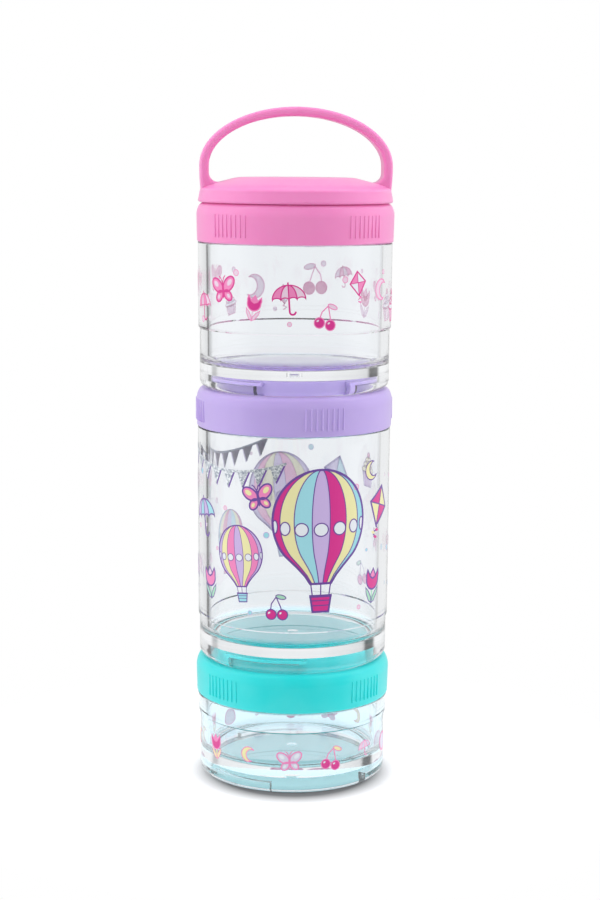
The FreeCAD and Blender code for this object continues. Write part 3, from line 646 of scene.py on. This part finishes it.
def makeCamera():
    data = bpy.data.cameras.new("photo camera")
    data.sensor_width = camera["sensorMm"]
    data.lens = camera["focalPx"] / camera["imageHeight"] * camera["sensorMm"]
    data.clip_start, data.clip_end = camera["clip"]
    obj = bpy.data.objects.new("photo camera", data)
    scene.collection.objects.link(obj)
    tilt = Matrix.Rotation(math.radians(90 - camera["pitch"]), 4, "X")
    roll = Matrix.Rotation(math.radians(camera["roll"]), 4, "Z")
    yaw = Matrix.Rotation(math.radians(camera["yaw"]), 4, "Z")
    place = Vector((camera["aside"], -camera["distance"], camera["height"])) * mm
    obj.matrix_world = yaw @ Matrix.Translation(place) @ tilt @ roll
    scene.camera = obj


makeCamera()
print("camera set")

# white tent: bright sides and back, a dark camera side that keeps mirror images off the front, and narrow
# flags behind that line the clear walls
# stops are (degrees from straight behind, negative to the left, brightness)
tent = {"lighting": ((-180, 0.95), (-130, 0.94), (-90, 0.84), (-45, 0.86), (0, 0.85), (45, 0.86), (90, 0.84),
                     (130, 0.94), (180, 0.95)),
        "mirrored": ((-180, 0.04), (-134, 0.06), (-106, 1.0), (-75, 1.2), (-52, 1.0), (-30, 0.8), (0, 0.8),
                     (30, 0.8), (52, 1.0), (75, 1.2), (106, 1.0), (134, 0.06), (180, 0.04)),
        "throughGlass": ((-180, 1.5), (-125, 1.5), (-90, 1.0), (-50, 0.9), (-34.5, 0.75), (-22, 0.82),
                         (-8, 0.93), (12, 0.93), (25, 0.86), (47, 0.84), (57, 0.9), (90, 1.0), (125, 1.5),
                         (180, 1.5)),
        "acrossCups": ((-180, 0.93), (-125, 0.93), (-90, 0.95), (-50, 0.9), (-34.5, 0.75), (-22, 0.82),
                       (-8, 0.93), (12, 0.93), (25, 0.86), (47, 0.84), (57, 0.9), (90, 0.95), (125, 0.93),
                       (180, 0.93)),
        "insideWalls": ((-180, 0.95), (-125, 0.95), (-90, 1.0), (-50, 0.9), (-46, 0.06), (-37.5, 0.06),
                        (-34.5, 0.7), (-22, 0.82), (-8, 0.93), (12, 0.93), (25, 0.86), (40, 0.84),
                        (47, 0.82), (49.5, 0.5), (54, 0.5), (57, 0.9), (90, 1.0), (125, 0.95), (180, 0.95)),
        "light": 0.85, "oneWall": 2.5, "noBounce": 0.5, "bounces": 24, "diffuseBounces": 12}


def makeTent():
    world = bpy.data.worlds.new("white tent")
    scene.world = world
    world.use_nodes = True
    tree = world.node_tree
    tree.nodes.clear()
    way = addNode(tree, "ShaderNodeTexCoord").outputs["Generated"]
    axes = addNode(tree, "ShaderNodeSeparateXYZ", {"Vector": way})
    angle = addNode(tree, "ShaderNodeMath", {0: axes.outputs["X"], 1: axes.outputs["Y"]}, operation="ARCTAN2")
    share = addNode(tree, "ShaderNodeMapRange", {"Value": angle.outputs[0], "From Min": -math.pi,
                                                 "From Max": math.pi})
    path = addNode(tree, "ShaderNodeLightPath")
    through = path.outputs["Is Transmission Ray"]
    # light that ran along inside one wall crossed its skin twice; a look across a cup crosses four skins
    once = addNode(tree, "ShaderNodeMath", {0: path.outputs["Transmission Depth"], 1: tent["oneWall"]},
                   operation="LESS_THAN")
    once = addNode(tree, "ShaderNodeMath", {0: once.outputs[0], 1: through}, operation="MULTIPLY")
    # light that has not yet met an opaque surface
    straight = addNode(tree, "ShaderNodeMath", {0: path.outputs["Diffuse Depth"], 1: tent["noBounce"]},
                       operation="LESS_THAN")
    straight = addNode(tree, "ShaderNodeMath", {0: straight.outputs[0], 1: through}, operation="MULTIPLY")
    looks = (("lighting", None, tent["light"]), ("mirrored", path.outputs["Is Glossy Ray"], 1.0),
             ("throughGlass", through, 1.0), ("acrossCups", straight.outputs[0], 1.0),
             ("insideWalls", once.outputs[0], 1.0))
    mix = None
    for look, ray, strength in looks:
        ramp = addNode(tree, "ShaderNodeValToRGB", {"Fac": share.outputs["Result"]})
        stops = ramp.color_ramp.elements
        for k, (degrees, bright) in enumerate(tent[look]):
            place = (degrees + 180) / 360
            stop = stops[k] if k < 2 else stops.new(place)
            stop.position, stop.color = place, (bright, bright, bright, 1)
        back = addNode(tree, "ShaderNodeBackground", {"Color": ramp.outputs["Color"], "Strength": strength})
        shown = back.outputs["Background"]
        if ray is not None:
            shown = addNode(tree, "ShaderNodeMixShader", {0: ray, 1: mix, 2: shown}).outputs["Shader"]
        mix = shown
    white = addNode(tree, "ShaderNodeBackground", {"Color": linear("#ffffff"), "Strength": 1.0})
    mix = addNode(tree, "ShaderNodeMixShader", {0: path.outputs["Is Camera Ray"], 1: mix,
                                                2: white.outputs["Background"]})
    out = addNode(tree, "ShaderNodeOutputWorld")
    tree.links.new(mix.outputs["Shader"], out.inputs["Surface"])
    # light that runs along inside the clear walls, or down into a narrow seam, takes many turns to leave
    scene.cycles.max_bounces = scene.cycles.transmission_bounces = tent["bounces"]
    scene.cycles.glossy_bounces, scene.cycles.diffuse_bounces = tent["bounces"], tent["diffuseBounces"]


# pale floor that fades into the tent, with a painted contact shadow round the base, thrown a little forward,
# and a painted tint of the light that comes down through the lowest lid, under the base and through the
# lowest cup
floorSheet = {"half": 600.0, "drop": 0.02, "colour": "#f4f4f6", "lift": 0.45, "fadeFrom": 60.0,
              "fadeTo": 140.0, "dark": "#1b1c22", "falloff": 1.7, "paintedLidLightUnderBase": "#d8f0f0", "baseRadius": 31.0,
              "paintedShadowFrom": 29.5, "paintedShadowTo": 44.0, "shade": 0.84, "forward": 5.5, "narrow": 1.05,
              "paintedLidLightThroughCup": "#cfe6ea"}


def makeFloor():
    half = floorSheet["half"] * mm
    mesh = bpy.data.meshes.new("floor")
    corners = [(-half, -half, 0), (half, -half, 0), (half, half, 0), (-half, half, 0)]
    mesh.from_pydata(corners, [], [(0, 1, 2, 3)])
    floor = bpy.data.objects.new("floor", mesh)
    scene.collection.objects.link(floor)
    floor.location.z = -floorSheet["drop"] * mm
    material, tree, out = newMaterial("matt white sweep")
    coords = addNode(tree, "ShaderNodeTexCoord").outputs["Object"]
    reach = addNode(tree, "ShaderNodeVectorMath", {0: coords}, operation="LENGTH").outputs["Value"]
    # painted contact shadow: the floor's tone darkens near the base, reaching further forward than to the
    # sides
    shifted = addNode(tree, "ShaderNodeVectorMath", {0: coords, 1: (floorSheet["narrow"], 1, 1),
                                                     2: (0, floorSheet["forward"] * mm, 0)},
                      operation="MULTIPLY_ADD").outputs["Vector"]
    ahead = addNode(tree, "ShaderNodeVectorMath", {0: shifted}, operation="LENGTH").outputs["Value"]
    fade = addNode(tree, "ShaderNodeMapRange", {"Value": reach, "From Min": floorSheet["fadeFrom"] * mm,
                                                "From Max": floorSheet["fadeTo"] * mm},
                   interpolation_type="SMOOTHSTEP")
    ease = addNode(tree, "ShaderNodeMapRange", {"Value": ahead, "From Min": floorSheet["paintedShadowFrom"] * mm,
                                                "From Max": floorSheet["paintedShadowTo"] * mm, "To Min": 1.0,
                                                "To Max": 0.0})
    soft = addNode(tree, "ShaderNodeMath", {0: ease.outputs["Result"], 1: floorSheet["falloff"]},
                   operation="POWER")
    shade = addNode(tree, "ShaderNodeMath", {0: soft.outputs[0], 1: floorSheet["shade"]},
                    operation="MULTIPLY")
    outside = addNode(tree, "ShaderNodeMath", {0: reach, 1: floorSheet["baseRadius"] * mm},
                      operation="GREATER_THAN")
    shade = addNode(tree, "ShaderNodeMath", {0: shade.outputs[0], 1: outside.outputs[0]},
                    operation="MULTIPLY")
    # under the base the floor is painted in the tint of the light that comes down through the lowest lid
    plain = addNode(tree, "ShaderNodeMix", {
        "Factor": outside.outputs[0], "A": linear(floorSheet["paintedLidLightUnderBase"]),
        "B": linear(floorSheet["colour"])}, data_type="RGBA")
    tone = addNode(tree, "ShaderNodeMix", {"Factor": shade.outputs[0], "A": plain.outputs["Result"],
                                           "B": linear(floorSheet["dark"])}, data_type="RGBA")
    path = addNode(tree, "ShaderNodeLightPath")
    through = path.outputs["Is Transmission Ray"]
    # seen through the clear walls, the floor is painted in the tint of the light from the lowest lid
    tone = addNode(tree, "ShaderNodeMix", {"Factor": through, "A": tone.outputs["Result"],
                                           "B": linear(floorSheet["paintedLidLightThroughCup"])},
                   data_type="RGBA", blend_type="MULTIPLY")
    diffuse = addNode(tree, "ShaderNodeBsdfDiffuse", {"Color": tone.outputs["Result"]})
    glow = addNode(tree, "ShaderNodeEmission", {"Color": tone.outputs["Result"],
                                                "Strength": floorSheet["lift"]})
    both = addNode(tree, "ShaderNodeAddShader", {0: diffuse.outputs["BSDF"], 1: glow.outputs["Emission"]})
    seen = addNode(tree, "ShaderNodeMath", {0: path.outputs["Is Camera Ray"],
                                            1: path.outputs["Is Glossy Ray"]}, operation="MAXIMUM")
    seen = addNode(tree, "ShaderNodeMath", {0: seen.outputs[0], 1: through}, operation="MAXIMUM")
    mix = addNode(tree, "ShaderNodeMixShader", {0: seen.outputs[0], 1: diffuse.outputs["BSDF"],
                                                2: both.outputs["Shader"]})
    # clear where it fades, and clear from below, so that the underside of the stack can be looked at
    below = addNode(tree, "ShaderNodeNewGeometry").outputs["Backfacing"]
    gone = addNode(tree, "ShaderNodeMath", {0: fade.outputs["Result"], 1: below}, operation="MAXIMUM")
    clear = addNode(tree, "ShaderNodeBsdfTransparent")
    mix = addNode(tree, "ShaderNodeMixShader", {0: gone.outputs[0], 1: mix.outputs["Shader"],
                                                2: clear.outputs["BSDF"]})
    tree.links.new(mix.outputs["Shader"], out.inputs["Surface"])
    mesh.materials.append(material)


# soft lamps: (place and size in metres, watts), all aimed at the middle of the stack
lamps = {"left softbox": ((-1.0, -0.15, 0.45), (0.6, 1.0), 4.1),
         "right softbox": ((1.0, -0.15, 0.45), (0.6, 1.0), 4.1),
         "top softbox": ((0.0, -0.1, 1.2), (1.0, 0.8), 4.4)}
lampAim = Vector((0, 0, 0.12))


def makeLamp(name, place, size, watts):
    data = bpy.data.lights.new(name, "AREA")
    data.shape, data.size, data.size_y, data.energy = "RECTANGLE", size[0], size[1], watts
    lamp = bpy.data.objects.new(name, data)
    lamp.visible_glossy = lamp.visible_transmission = False  # the tent alone shows in the clear walls
    scene.collection.objects.link(lamp)
    lamp.location = place
    lamp.rotation_euler = (lampAim - Vector(place)).to_track_quat("-Z", "Y").to_euler()


makeTent()
makeFloor()
for name, (place, size, watts) in lamps.items():
    makeLamp(name, place, size, watts)
print("studio lit")

scene.view_settings.view_transform = "Standard"
